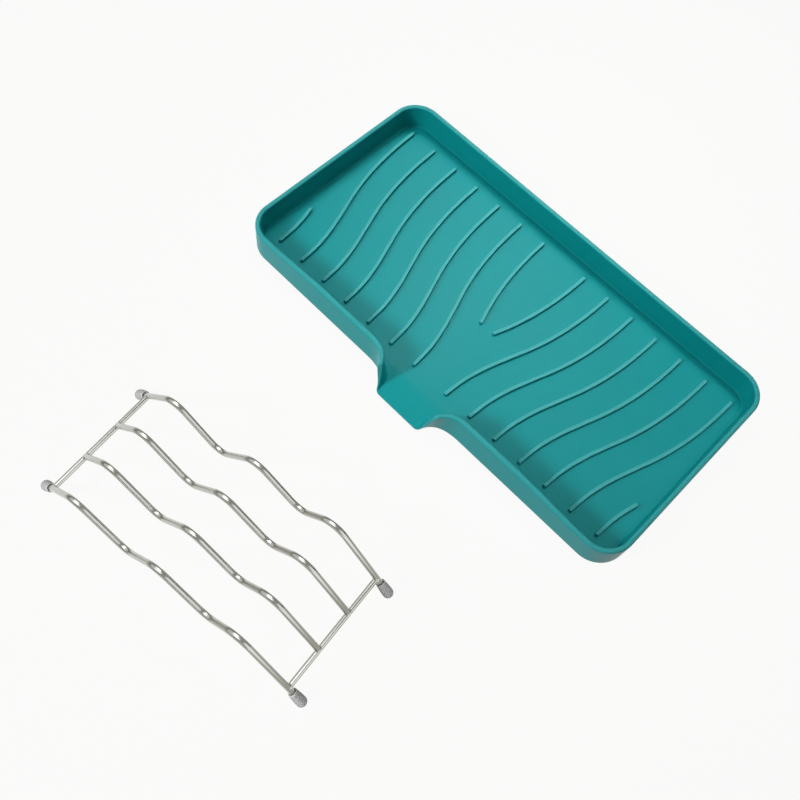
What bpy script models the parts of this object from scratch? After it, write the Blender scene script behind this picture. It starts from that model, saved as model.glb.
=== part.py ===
"""Soap dish: a moulded silicone tray with a pouring spout, and a wave-bent wire rack that stands beside it.

Metres, +Z up. The origin is the middle of the tray's underside, and the spout faces -Y.
"""

import math

import bmesh
import bpy
from mathutils import Vector

# Tray
TRAY_LENGTH = 0.240
TRAY_WIDTH = 0.1233
WALL_HEIGHT = 0.0168
WALL_THICKNESS = 0.0026
FLOOR_THICKNESS = 0.0032
CORNER_RADIUS = 0.0147
RIM_ROUND = 0.0010
BASE_ROUND = 0.0006
FLOOR_FILLET = 0.0015
WALL_LEAN = 0.0013
LEAN_RUN = 0.0450

# Spout in the front wall: places along its side run from 0 at the wall to 1 at the lip's corner
SPOUT_REACH = 0.0107
SPOUT_MOUTH = 0.0620
LIP_WIDTH = 0.0272
LIP_THICKNESS = 0.0016
LIP_CORNER = 0.0021
SPOUT_CURVE_SHARES = ((0.0, 0.0), (0.49, 0.0), (0.83, 0.20), (0.96, 0.81))
SPOUT_CORNER_SHARE = 0.14
SPOUT_LEAN_END_SHARE = 0.50
SPOUT_FLARE_SHARE = 0.195
SPOUT_FLARE_RUN_SHARES = (0.25, 0.85)
SPOUT_FALL_RUN_SHARES = (0.66, 1.07)
LIP_SECTION_SHARE = 0.30
LIP_STEP_SHARES = (0.0, 0.5)

# Ribs on the tray's floor
RIB_WIDTH = 0.0018
RIB_HEIGHT = 0.0018
RIB_ROUND = 0.0004
RIB_ROOT = 0.0010
RIB_SPAN = 0.1006
RIB_PITCH = 0.0159
RIB_SWING = 0.0195
RIB_FIRST = 0.0106
RIB_CENTRE_GAP = 0.0041
RIB_SHORT_RUN = 0.0252
RIBS_A_SIDE = 8
RIB_STEPS = 14
RIB_END_STEPS = 4
RIB_SWAY_SHARES = (
    (0.0, 0.0), (0.125, 0.055), (0.25, 0.205), (0.375, 0.42), (0.5, 0.64),
    (0.625, 0.805), (0.75, 0.915), (0.875, 0.975), (1.0, 1.0),
)

# Wire rack
RACK_LENGTH = 0.1464
RACK_WIDTH = 0.0576
RACK_RISE = 0.0386
WIRE_DIAMETER = 0.0028
ROD_DIAMETER = 0.0025
HUMP_BEND = 0.0076
VALLEY_BEND = 0.0066
WIRES = 4
WAVE_SHARES = (
    (-1.0, 0.0), (-0.64, 0.82), (-0.30, 0.25), (-0.005, 0.97),
    (0.33, 0.465), (0.575, 1.0), (1.0, 0.0),
)

# Caps on the rack's feet
CAP_DIAMETER = 0.0050
CAP_MOUTH_DIAMETER = 0.0042
CAP_LENGTH = 0.0100
CAP_TIP_WALL = 0.0010
ROD_TO_CAP = 0.0020

# Where the rack stands
RACK_STANDOFF = 0.0615
RACK_SHIFT = -0.0104
RACK_TURN = math.radians(7.05)

# Gap between pieces that touch on the real object
GAP = 0.0003

CORNER_STEPS = 7
CURVE_STEPS = 10
LIP_CORNER_STEPS = 3
WALL_STEPS = 5
ARC_STEPS = 2
BEND_STEPS = 5
CAP_STEPS = 16
CAP_TIP_STEPS = 5


def clear_scene():
    for obj in list(bpy.data.objects):
        bpy.data.objects.remove(obj, do_unlink=True)


def new_collection(name):
    collection = bpy.data.collections.new(name)
    bpy.context.scene.collection.children.link(collection)
    return collection


def finish(name, colour, roughness, metallic=0.0, alpha=1.0):
    """A Principled material."""
    material = bpy.data.materials.new(name)
    material.use_nodes = True
    shader = material.node_tree.nodes["Principled BSDF"]
    shader.inputs["Base Color"].default_value = (*colour, 1.0)
    shader.inputs["Roughness"].default_value = roughness
    shader.inputs["Metallic"].default_value = metallic
    shader.inputs["Alpha"].default_value = alpha
    return material


def add_object(name, data, collection, material=None):
    obj = bpy.data.objects.new(name, data)
    collection.objects.link(obj)
    if material:
        data.materials.append(material)
    return obj


def ease(share, start=0.0, end=1.0):
    """0 to 1 from start to end, level at both."""
    share = min(max((share - start) / (end - start), 0.0), 1.0)
    return share * share * (3 - 2 * share)


def bezier(points, t):
    a, b, c, d = points
    s = 1 - t
    return a * s**3 + b * 3 * s * s * t + c * 3 * s * t * t + d * t**3


def arc(centre, radius, start, end, steps):
    """Points along an arc in the XY plane; angles are in degrees."""
    found = []
    for i in range(steps + 1):
        angle = math.radians(start + (end - start) * i / steps)
        found.append(centre + radius * Vector((math.cos(angle), math.sin(angle))))
    return found


def spout_station(place, along):
    """A station on the spout's side, where along is 0 at the front wall and 1 at the lip's corner."""
    lean = WALL_LEAN / WALL_HEIGHT * (1 - ease(along, 0.0, SPOUT_LEAN_END_SHARE))
    flare = SPOUT_FLARE_SHARE * ease(along, *SPOUT_FLARE_RUN_SHARES)
    return place, 1 - ease(along, *SPOUT_FALL_RUN_SHARES), lean - flare


def right_side_stations():
    """(place, share of wall height, lean) along the outer foot, from the lip's middle to the rear wall's.

    The lean is how far in the wall goes for each metre that it goes up.
    """
    half_length, half_width = TRAY_LENGTH / 2, TRAY_WIDTH / 2
    corner = Vector((LIP_WIDTH / 2, -half_width - SPOUT_REACH))
    mouth = Vector((SPOUT_MOUTH / 2, -half_width))
    across = corner - mouth
    curve = [mouth + Vector((across.x * u, across.y * v)) for u, v in SPOUT_CURVE_SHARES]
    lip_end = corner - Vector((LIP_CORNER, 0))
    flat = 1 + SPOUT_CORNER_SHARE
    stations = [spout_station(Vector((lip_end.x * share, lip_end.y)), flat) for share in LIP_STEP_SHARES]
    for i in range(LIP_CORNER_STEPS):
        t = i / LIP_CORNER_STEPS
        place = lip_end * (1 - t)**2 + corner * 2 * t * (1 - t) + curve[-1] * t**2
        stations.append(spout_station(place, 1 + SPOUT_CORNER_SHARE * (1 - t)))
    for i in range(CURVE_STEPS + 1):
        t = 1 - i / CURVE_STEPS
        stations.append(spout_station(bezier(curve, t), t))
    wall_end = half_length - CORNER_RADIUS
    for i in range(1, WALL_STEPS):
        x = mouth.x + (wall_end - mouth.x) * i / WALL_STEPS
        lean = WALL_LEAN / WALL_HEIGHT * ease(wall_end - x, 0.0, LEAN_RUN)
        stations.append((Vector((x, -half_width)), 1.0, lean))
    inner_y = half_width - CORNER_RADIUS
    front = arc(Vector((wall_end, -inner_y)), CORNER_RADIUS, -90, 0, CORNER_STEPS)
    rear = arc(Vector((wall_end, inner_y)), CORNER_RADIUS, 0, 90, CORNER_STEPS)
    stations += [(place, 1.0, 0.0) for place in front + rear]
    stations.append((Vector((0, half_width)), 1.0, 0.0))
    return stations


def tray_stations():
    """The whole outline, counter-clockwise from the lip's middle."""
    right = right_side_stations()
    left = [(Vector((-place.x, place.y)), height, lean) for place, height, lean in right[1:-1]]
    return right + left[::-1]


def inward_normals(places):
    """Mitred normals into the tray, for a counter-clockwise outline."""
    found = []
    for i, place in enumerate(places):
        before = (place - places[i - 1]).normalized()
        after = (places[(i + 1) % len(places)] - place).normalized()
        bisector = (before + after).normalized()
        found.append(Vector((-bisector.y, bisector.x)) / max(bisector.dot(before), 0.5))
    return found


def spout_floor_z(y):
    """The floor's height: level in the tray, falling to the lip in the spout."""
    start = -TRAY_WIDTH / 2 + WALL_THICKNESS + FLOOR_FILLET
    end = -TRAY_WIDTH / 2 - SPOUT_REACH
    share = (start - y) / (start - end)
    return FLOOR_THICKNESS - (FLOOR_THICKNESS - LIP_THICKNESS) * max(share, 0.0)


def wall_section():
    """(distance in from the outer face, height) round an upright wall, from its outer rim to the floor."""
    top = WALL_HEIGHT - RIM_ROUND
    outer = arc(Vector((RIM_ROUND, top)), RIM_ROUND, 180, 90, ARC_STEPS)
    inner = arc(Vector((WALL_THICKNESS - RIM_ROUND, top)), RIM_ROUND, 90, 0, ARC_STEPS)
    foot = Vector((WALL_THICKNESS + FLOOR_FILLET, FLOOR_THICKNESS + FLOOR_FILLET))
    return outer + inner + arc(foot, FLOOR_FILLET, 180, 270, ARC_STEPS)


def tray_mesh():
    """The tray without its ribs: one wall section carried round the outline, with the floor and the base filled in."""
    stations = tray_stations()
    normals = inward_normals([place for place, _, _ in stations])
    section = wall_section()
    mesh = bmesh.new()
    rings = []
    for (place, height, lean), normal in zip(stations, normals):
        width = LIP_SECTION_SHARE + (1 - LIP_SECTION_SHARE) * ease(height)
        ring = [mesh.verts.new((*(place + normal * BASE_ROUND), 0.0)), mesh.verts.new((*place, BASE_ROUND))]
        for inset, z in section:
            z = spout_floor_z(place.y + normal.y * inset * width) + height * (z - FLOOR_THICKNESS)
            ring.append(mesh.verts.new((*(place + normal * (inset * width + lean * z)), z)))
        rings.append(ring)
    count = len(rings)
    for i, ring in enumerate(rings):
        following = rings[(i + 1) % count]
        for j in range(len(ring) - 1):
            mesh.faces.new((ring[j], following[j], following[j + 1], ring[j + 1])).smooth = True
    mouth = len(LIP_STEP_SHARES) + LIP_CORNER_STEPS + CURVE_STEPS
    floor = [ring[-1] for ring in rings]
    mesh.faces.new(floor[mouth:count - mouth + 1])
    mesh.faces.new(floor[count - mouth:] + floor[:mouth + 1])
    mesh.faces.new([ring[0] for ring in rings][::-1])
    bmesh.ops.recalc_face_normals(mesh, faces=mesh.faces)
    data = bpy.data.meshes.new("tray")
    mesh.to_mesh(data)
    mesh.free()
    return data


def rib_sway(share):
    """How far along its sway the rib is, at a share of its span from the front, read smoothly from the shares."""
    knots = RIB_SWAY_SHARES
    last = len(knots) - 2
    k = next((i for i in range(last + 1) if share <= knots[i + 1][0]), last)
    before, start, end, after = knots[max(k - 1, 0)], knots[k], knots[k + 1], knots[min(k + 2, last + 1)]
    step = end[0] - start[0]
    t = (share - start[0]) / step
    slope_in = (end[1] - before[1]) / (end[0] - before[0]) * step
    slope_out = (after[1] - start[1]) / (after[0] - start[0]) * step
    rise = end[1] - start[1]
    return start[1] + slope_in * t + (3 * rise - 2 * slope_in - slope_out) * t**2 + (
        slope_in + slope_out - 2 * rise) * t**3


def rib_line(index):
    """The centre line of one right-hand rib, from front to rear. Rib 0 is the one cut short at the middle."""
    front, rear = 0.0, 1.0
    offset = RIB_FIRST + RIB_PITCH * (index - 1)
    if index == 0:
        steps = 400
        front = next(
            i / steps for i in range(steps) if offset + RIB_SWING * rib_sway(i / steps) >= RIB_CENTRE_GAP)
    if index == RIBS_A_SIDE - 1:
        rear = RIB_SHORT_RUN / RIB_SPAN
    steps = max(round(RIB_STEPS * (rear - front)), 4)
    line = []
    for i in range(steps + 1):
        share = front + (rear - front) * i / steps
        line.append(Vector((offset + RIB_SWING * rib_sway(share), RIB_SPAN * (share - 0.5))))
    return line


def round_ended_outline(line, width):
    """The closed outline of a band of this width along a line, with round ends."""
    def end_points(tip, direction):
        start = math.degrees(math.atan2(direction.y, direction.x)) - 90
        return arc(tip - direction * width / 2, width / 2, start, start + 180, RIB_END_STEPS)

    def side(points, sign):
        found = []
        for before, at, after in zip(points, points[1:], points[2:]):
            along = (after - before).normalized()
            found.append(at + sign * width / 2 * Vector((-along.y, along.x)))
        return found

    ahead = (line[-1] - line[-2]).normalized()
    behind = (line[0] - line[1]).normalized()
    return side(line, -1) + end_points(line[-1], ahead) + side(line, 1)[::-1] + end_points(line[0], behind)


def mesh_from_curve(obj, name, collection):
    """The curve's evaluated mesh with its caps welded, in its place."""
    graph = bpy.context.evaluated_depsgraph_get()
    data = bpy.data.meshes.new_from_object(obj.evaluated_get(graph))
    mesh = bmesh.new()
    mesh.from_mesh(data)
    bmesh.ops.remove_doubles(mesh, verts=mesh.verts, dist=GAP / 100)
    bmesh.ops.recalc_face_normals(mesh, faces=mesh.faces)
    mesh.to_mesh(data)
    mesh.free()
    data.shade_smooth()
    made = add_object(name, data, collection)
    made.matrix_world = obj.matrix_world
    bpy.data.objects.remove(obj, do_unlink=True)
    return made


def ribs_object(collection):
    """All the ribs, as closed bands with rounded tops that reach down into the floor."""
    curve = bpy.data.curves.new("ribs", "CURVE")
    curve.dimensions = "2D"
    curve.fill_mode = "BOTH"
    curve.extrude = (RIB_HEIGHT + RIB_ROOT) / 2 - RIB_ROUND
    curve.bevel_depth = RIB_ROUND
    curve.bevel_resolution = 1
    curve.offset = -RIB_ROUND
    for index in range(RIBS_A_SIDE):
        for side in (1, -1):
            line = [Vector((side * point.x, point.y)) for point in rib_line(index)]
            outline = round_ended_outline(line, RIB_WIDTH)
            spline = curve.splines.new("POLY")
            spline.points.add(len(outline) - 1)
            for point, (x, y) in zip(spline.points, outline):
                point.co = (x, y, 0.0, 1.0)
            spline.use_cyclic_u = True
    flat = add_object("rib_curve", curve, collection)
    flat.location.z = FLOOR_THICKNESS + (RIB_HEIGHT - RIB_ROOT) / 2
    bpy.context.view_layer.update()
    ribs = mesh_from_curve(flat, "ribs", collection)
    ribs.hide_render = True
    ribs.display_type = "WIRE"
    return ribs


def make_tray(parts, helpers):
    silicone = finish("teal_silicone", (0.03, 0.36, 0.38), 0.45)
    tray = add_object("tray", tray_mesh(), parts, silicone)
    join = tray.modifiers.new("ribs", "BOOLEAN")
    join.operation = "UNION"
    join.solver = "EXACT"
    join.object = ribs_object(helpers)
    return tray


def wave_corners():
    """The wave's corners before they are bent round, in the rack's own length and height."""
    foot = CAP_DIAMETER / 2
    return [Vector((RACK_LENGTH / 2 * along, foot + RACK_RISE * up)) for along, up in WAVE_SHARES]


def bent_line(corners):
    """The corners joined by straights and round bends: humps have one radius and valleys another."""
    found = [corners[0]]
    for i in range(1, len(corners) - 1):
        back = (corners[i - 1] - corners[i]).normalized()
        ahead = (corners[i + 1] - corners[i]).normalized()
        radius = HUMP_BEND if back.y < 0 else VALLEY_BEND
        half = back.angle(ahead) / 2
        centre = corners[i] + (back + ahead).normalized() * radius / math.sin(half)
        start = (corners[i] + back * radius / math.tan(half)) - centre
        end = (corners[i] + ahead * radius / math.tan(half)) - centre
        turn = start.angle_signed(end)
        for k in range(BEND_STEPS + 1):
            angle = -turn * k / BEND_STEPS
            across = Vector((-start.y, start.x))
            found.append(centre + start * math.cos(angle) + across * math.sin(angle))
    found.append(corners[-1])
    return found


def rod_distance():
    """How far up the wire from the middle of a foot's round tip the cross rod is welded."""
    return CAP_LENGTH - CAP_DIAMETER / 2 + ROD_TO_CAP + ROD_DIAMETER / 2


def rod_places():
    corners = wave_corners()
    left = corners[0] + (corners[1] - corners[0]).normalized() * rod_distance()
    right = corners[-1] + (corners[-2] - corners[-1]).normalized() * rod_distance()
    return left, right


def wire_line(outer):
    """A wire's centre line: the outer ones run down into the caps, the inner ones stop at the rods."""
    line = bent_line(wave_corners())
    if outer:
        setback = -(CAP_DIAMETER / 2 - CAP_TIP_WALL - GAP)
    else:
        setback = rod_distance() + ROD_DIAMETER / 2 + GAP
    line[0] = line[0] + (line[1] - line[0]).normalized() * setback
    line[-1] = line[-1] + (line[-2] - line[-1]).normalized() * setback
    return line


def make_tube(name, points, diameter, collection, material, parent):
    """A round wire along points in the rack's own frame."""
    curve = bpy.data.curves.new(name, "CURVE")
    curve.dimensions = "3D"
    curve.bevel_depth = diameter / 2
    curve.bevel_resolution = 2
    curve.use_fill_caps = True
    spline = curve.splines.new("POLY")
    spline.points.add(len(points) - 1)
    for point, place in zip(spline.points, points):
        point.co = (*place, 1.0)
    spline.use_smooth = True
    tube = add_object(name, curve, collection, material)
    tube.parent = parent
    return tube


def cap_mesh():
    """A turned cap: a blind bore for the wire, and a round tip about the origin, pointing down."""
    radius = CAP_DIAMETER / 2
    bore = WIRE_DIAMETER / 2 + GAP
    top = CAP_LENGTH - radius
    floor = -radius + CAP_TIP_WALL
    profile = [(0.0, floor), (bore, floor), (bore, top), (CAP_MOUTH_DIAMETER / 2, top)]
    for i in range(CAP_TIP_STEPS + 1):
        angle = math.pi / 2 * i / CAP_TIP_STEPS
        profile.append((radius * math.cos(angle), -radius * math.sin(angle)))
    profile[-1] = (0.0, -radius)
    data = bpy.data.meshes.new("foot_cap")
    data.from_pydata([(x, 0.0, z) for x, z in profile], [(i, i + 1) for i in range(len(profile) - 1)], [])
    return data


def make_caps(parts, parent, reach):
    clear_plastic = finish("clear_plastic", (0.50, 0.50, 0.49), 0.30, alpha=0.75)
    shape = cap_mesh()
    shape.materials.append(clear_plastic)
    corners = wave_corners()
    ends = {"left": (corners[0], corners[1]), "right": (corners[-1], corners[-2])}
    for side, (foot, above) in ends.items():
        for row, y in (("rear", reach), ("front", -reach)):
            cap = bpy.data.objects.new(f"foot_cap_{row}_{side}", shape)
            parts.objects.link(cap)
            cap.parent = parent
            cap.location = (foot.x, y, foot.y)
            up = above - foot
            cap.rotation_euler.y = math.atan2(up.x, up.y)
            turn = cap.modifiers.new("turn", "SCREW")
            turn.axis = "Z"
            turn.steps = CAP_STEPS
            turn.render_steps = CAP_STEPS
            turn.use_merge_vertices = True
            turn.merge_threshold = GAP / 100
            turn.use_smooth_shade = True


def make_rack(parts):
    steel = finish("stainless_steel", (0.72, 0.72, 0.70), 0.22, metallic=1.0)
    base = bpy.data.objects.new("rack", None)
    parts.objects.link(base)
    foot_reach = RACK_WIDTH / 2 + CAP_DIAMETER / 2
    depth = foot_reach * math.cos(RACK_TURN) + RACK_LENGTH / 2 * math.sin(RACK_TURN)
    base.location = (RACK_SHIFT, -TRAY_WIDTH / 2 - SPOUT_REACH - RACK_STANDOFF - depth, 0.0)
    base.rotation_euler.z = RACK_TURN
    names = ("outer_wire_rear", "inner_wire_rear", "inner_wire_front", "outer_wire_front")
    reach = RACK_WIDTH / 2
    for i, name in enumerate(names):
        y = reach - RACK_WIDTH * i / (WIRES - 1)
        outer = i in (0, WIRES - 1)
        points = [(point.x, y, point.y) for point in wire_line(outer)]
        make_tube(name, points, WIRE_DIAMETER, parts, steel, base)
    rod_end = reach - WIRE_DIAMETER / 2 - GAP
    for side, place in zip(("left", "right"), rod_places()):
        ends = [(place.x, y, place.y) for y in (-rod_end, rod_end)]
        make_tube(f"cross_rod_{side}", ends, ROD_DIAMETER, parts, steel, base)
    make_caps(parts, base, reach)


def main():
    clear_scene()
    parts = new_collection("soap_dish")
    helpers = new_collection("helpers")
    make_tray(parts, helpers)
    make_rack(parts)
    bpy.context.view_layer.update()


main()
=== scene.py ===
"""Soap dish: a satin silicone tray and a polished wire rack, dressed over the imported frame.

Metres, +Z up. The origin is the middle of the tray's underside, and the spout faces -Y.
"""

import math

import bmesh
import bpy
from mathutils import Matrix, Vector, geometry

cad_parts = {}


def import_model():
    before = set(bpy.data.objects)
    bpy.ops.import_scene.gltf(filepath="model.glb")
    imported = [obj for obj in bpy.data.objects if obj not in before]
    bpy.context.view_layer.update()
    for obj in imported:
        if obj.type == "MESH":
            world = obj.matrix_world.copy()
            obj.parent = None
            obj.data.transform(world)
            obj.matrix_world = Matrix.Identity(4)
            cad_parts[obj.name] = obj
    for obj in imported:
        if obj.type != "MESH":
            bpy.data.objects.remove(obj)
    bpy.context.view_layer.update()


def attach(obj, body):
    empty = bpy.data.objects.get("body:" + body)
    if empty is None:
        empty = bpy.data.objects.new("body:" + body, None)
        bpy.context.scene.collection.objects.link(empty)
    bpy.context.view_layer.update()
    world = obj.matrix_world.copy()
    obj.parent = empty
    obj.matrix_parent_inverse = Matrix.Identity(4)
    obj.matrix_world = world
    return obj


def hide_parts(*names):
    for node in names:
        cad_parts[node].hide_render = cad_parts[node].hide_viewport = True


# Tray
TRAY_LENGTH = 0.240
TRAY_WIDTH = 0.1233
WALL_HEIGHT = 0.0168
WALL_THICKNESS = 0.0026
FLOOR_THICKNESS = 0.0032
CORNER_RADIUS = 0.0147
RIM_ROUND = 0.0010
BASE_ROUND = 0.0006
FLOOR_FILLET = 0.0009
WALL_DRAFT = 0.0006
WALL_LEAN = 0.0013
LEAN_RUN = 0.0450

# Spout in the front wall. Places along its side run from 0 at the wall to 1 at the lip's corner, and the
# side's curve has four points, each as its shares of the way across and of the way out
SPOUT_REACH = 0.0107
SPOUT_MOUTH = 0.0620
LIP_WIDTH = 0.0272
LIP_THICKNESS = 0.0016
LIP_CORNER = 0.0021
SPOUT_CURVE_SHARES = ((0.0, 0.0), (0.49, 0.0), (0.83, 0.20), (0.96, 0.81))
SPOUT_CORNER_SHARE = 0.14
SPOUT_LEAN_END_SHARE = 0.50
SPOUT_FLARE_SHARE = 0.195
SPOUT_FLARE_RUN_SHARES = (0.25, 0.85)
SPOUT_FALL_RUN_SHARES = (0.66, 1.07)
LIP_SECTION_SHARE = 0.30

# Ribs on the tray's floor. The first whole one starts RIB_FIRST to the right of the middle, and each sways
# outwards by RIB_SWING on its way to the rear; the sway has knots of (share of the span, share of the sway)
RIB_WIDTH = 0.0018
RIB_HEIGHT = 0.0018
RIB_TOP_ROUND = 0.0003
RIB_FOOT_ROUND = 0.00018
RIB_END_ROUND = 0.0005
RIB_SPAN = 0.1006
RIB_PITCH = 0.0159
RIB_SWING = 0.0195
RIB_FIRST = 0.0106
RIB_CENTRE_GAP = 0.0041
RIB_SHORT_RUN = 0.0252
RIBS_A_SIDE = 8
RIB_SWAY_SHARES = (
    (0.0, 0.0), (0.125, 0.055), (0.25, 0.205), (0.375, 0.42), (0.5, 0.64),
    (0.625, 0.805), (0.75, 0.915), (0.875, 0.975), (1.0, 1.0),
)

# Wire rack. The wave's corners are (share of half the length from the middle, share of the rise)
RACK_LENGTH = 0.1464
RACK_WIDTH = 0.0576
RACK_RISE = 0.0386
WIRE_DIAMETER = 0.0028
ROD_DIAMETER = 0.0025
WIRE_END_ROUND_SHARE = 0.5
INNER_WIRE_PAST_ROD_SHARE = 0.25
HUMP_BEND = 0.0076
VALLEY_BEND = 0.0066
WIRES = 4
OUTER_WIRES = (0, WIRES - 1)
WAVE_SHARES = (
    (-1.0, 0.0), (-0.64, 0.82), (-0.30, 0.25), (-0.005, 0.97),
    (0.33, 0.465), (0.575, 1.0), (1.0, 0.0),
)

# Welds
BEAD_ALONG = 0.0021
BEAD_ACROSS = 0.0018
BEAD_THICK = 0.00146
BEAD_OFFSET = 0.0004
BEAD_RIPPLE = 0.05

# Caps on the rack's feet
CAP_DIAMETER = 0.0050
CAP_MOUTH_DIAMETER = 0.0042
CAP_LENGTH = 0.0100
CAP_TIP_WALL = 0.0010
CAP_MOUTH_ROUND = 0.0003
CAP_BORE_CHAMFER_SHARE = 0.3
CAP_FIT = 0.00005
ROD_TO_CAP = 0.0020

# Where the rack stands
RACK_STANDOFF = 0.0615
RACK_SHIFT = -0.0104
RACK_TURN = math.radians(7.05)

# How finely the shapes are cut
CORNER_STEPS = 20
CURVE_STEPS = 36
LIP_CORNER_STEPS = 8
LIP_STEPS = 8
WALL_STEPS = 12
SIDE_STEPS = 8
REAR_STEPS = 12
RIM_STEPS = 6
FILLET_STEPS = 8
BASE_STEPS = 3
RIB_STEPS = 56
RIB_LEAST_STEPS = 12
RIB_TRIM_STEPS = 400
RIB_END_STEPS = 12
RIB_ROUND_STEPS = 5
BEND_STEPS = 14
TUBE_SIDES = 28
TUBE_END_STEPS = 5
CAP_SIDES = 36
CAP_MOUTH_STEPS = 6
CAP_TAPER_STEPS = 6
CAP_TIP_STEPS = 10
BEAD_RINGS = 10
BEAD_SIDES = 20
FILL_TOLERANCE = 0.0000001
LEVEL_TOLERANCE = 0.0000018
MITRE_LEAST_COSINE = 0.5

# Camera
CAMERA_PLACE = (0.10141, -0.22113, 0.40189)
CAMERA_AZIMUTH = math.radians(34.045)
CAMERA_ELEVATION = math.radians(65.095)
CAMERA_ROLL = math.radians(11.955)
CAMERA_LENS_MM = 41.70
CAMERA_SENSOR_MM = 36.0

# Studio: the ground under everything, what the camera sees behind it and a low even fill
GROUND_SIZE = 6.0
GROUND_DROP = 0.00002
GROUND_COLOUR = (0.50, 0.50, 0.495)
GROUND_WHITE_SHARE = 0.94
GROUND_WHITE = (1.0, 1.0, 0.995)
BACKGROUND_COLOUR = (1.0, 1.0, 1.0)
FILL_COLOUR = (0.02, 0.02, 0.02)

# Lamps: name, place, what it aims at, size, spread in degrees and power
SOFTBOXES = (
    ("front_left_softbox", (-0.307, -0.690, 0.490), (0.0, 0.0, 0.0), 0.18, 180.0, 4.1),
    ("rear_left_softbox", (-0.20, 0.31, 0.58), (-0.055, 0.07, 0.0), 0.30, 31.0, 0.150),
    ("rear_right_softbox", (0.16, 0.22, 0.60), (0.06, 0.05, 0.0), 0.30, 34.0, 0.075),
    ("front_right_softbox", (0.45, -0.40, 0.30), (0.05, -0.21, 0.0), 0.20, 24.0, 0.030),
)

# What a surface reflects: greys from the horizon at 0 to straight up at 1, and over them patches, each
# with the direction of its middle, the cosines of the angles at its edge and where it is full, and its level
SEEN_WORLD = (
    (0.0, 0.62, 0.02), (0.10, 0.50, 0.03), (0.28, 0.26, 0.12), (0.80, 0.24, 0.12), (1.0, 0.20, 0.08),
)
SEEN_PATCHES = (
    ((-0.75, -0.30, 0.60), 0.72, 0.86, 0.50),
    ((-0.24, -0.20, 0.95), 0.900, 0.975, 2.1),
    ((-0.40, 0.50, 0.77), 0.950, 0.985, 2.3),
    ((-0.50, 0.10, 0.86), 0.955, 0.985, 0.6),
    ((0.90, 0.0, 0.38), 0.76, 0.88, 0.78),
    ((0.66, 0.74, 0.12), 0.950, 0.985, 0.08),
    ((0.66, -0.74, 0.12), 0.950, 0.985, 0.08),
)

# Materials. A pair is the span that a cloud or the streaks run through
SILICONE_COLOURS = ((0.0040, 0.340, 0.353), (0.0070, 0.366, 0.382))
# Painted sheen: the paler teal laid on the tops of the ribs and the rim
SILICONE_PAINTED_SHEEN = (0.070, 0.495, 0.505)
SILICONE_ROUGHNESS = (0.33, 0.42)
GRAIN_DEPTH = 0.00003
COARSE_GRAIN_SHARE = 0.22
STEEL_COLOURS = ((0.84, 0.835, 0.805), (0.93, 0.925, 0.90))
STEEL_ROUGHNESS = (0.20, 0.27)
STREAK_DEPTH = 0.00002
WELD_COLOURS = ((0.56, 0.55, 0.52), (0.74, 0.735, 0.71))
WELD_ROUGHNESS = (0.18, 0.34)
WELD_DEPTH = 0.00010
CAP_COLOURS = ((0.82, 0.83, 0.82), (0.88, 0.89, 0.88))
CAP_ROUGHNESS = (0.26, 0.38)

# Greys painted into a colour by how far a surface turns away from the eye, as painted reflection bands on the
# steel and painted shade towards the caps' outline: (how far, grey, how warm the grey is)
STEEL_PAINTED_REFLECTIONS = (
    (0.0, 1.0, 0.0), (0.24, 1.0, 0.02), (0.33, 0.36, 0.10), (0.48, 0.39, 0.10), (0.60, 0.57, 0.04),
    (0.80, 0.63, 0.03), (1.0, 0.95, 0.0),
)
CAP_PAINTED_EDGE_SHADE = ((0.0, 1.0, 0.0), (0.35, 0.95, 0.0), (0.70, 0.62, 0.0), (1.0, 0.42, 0.0))

# Where the painted sheen lies, which makes the silicone paler on the tops of ribs and rim: between which
# shares of the ribs' height, for which upward part of the normal, and how much of it is left at the rim
SHEEN_HEIGHT_SHARES = (0.40, 0.70)
SHEEN_FACING = (0.20, 0.60)
RIM_SHEEN_SHARE = 0.60


def ease(share, start=0.0, end=1.0):
    """0 to 1 from start to end, level at both."""
    share = min(max((share - start) / (end - start), 0.0), 1.0)
    return share * share * (3 - 2 * share)


def bezier(points, t):
    """The place at t, from 0 to 1, on a cubic curve with four points."""
    a, b, c, d = points
    s = 1 - t
    return a * s**3 + b * 3 * s * s * t + c * 3 * s * t * t + d * t**3


def arc(centre, radius, start, end, steps):
    """Points along a flat arc; angles are in degrees."""
    found = []
    for i in range(steps + 1):
        angle = math.radians(start + (end - start) * i / steps)
        found.append(centre + radius * Vector((math.cos(angle), math.sin(angle))))
    return found


def towards(start, end, distance):
    """The place at a distance from start on the way to end."""
    return start + (end - start).normalized() * distance


def finished_data(name, mesh):
    """The built mesh as smooth object data, with its faces turned outwards."""
    bmesh.ops.recalc_face_normals(mesh, faces=mesh.faces)
    data = bpy.data.meshes.new(name)
    mesh.to_mesh(data)
    mesh.free()
    data.shade_smooth()
    return data


def add_piece(name, data, material, body, replaced=()):
    """A finished piece of the soap dish, which moves with its body and stands for the CAD nodes named."""
    piece = bpy.data.objects.new(name, data)
    bpy.context.scene.collection.objects.link(piece)
    data.materials.append(material)
    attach(piece, body)
    if replaced:
        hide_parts(*replaced)
    return piece


# Tray

def spout_station(place, along):
    """A station on the spout's side, where along is 0 at the front wall and 1 at the lip's corner."""
    lean = WALL_LEAN / WALL_HEIGHT * (1 - ease(along, 0.0, SPOUT_LEAN_END_SHARE))
    flare = SPOUT_FLARE_SHARE * ease(along, *SPOUT_FLARE_RUN_SHARES)
    return place, 1 - ease(along, *SPOUT_FALL_RUN_SHARES), lean - flare


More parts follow.
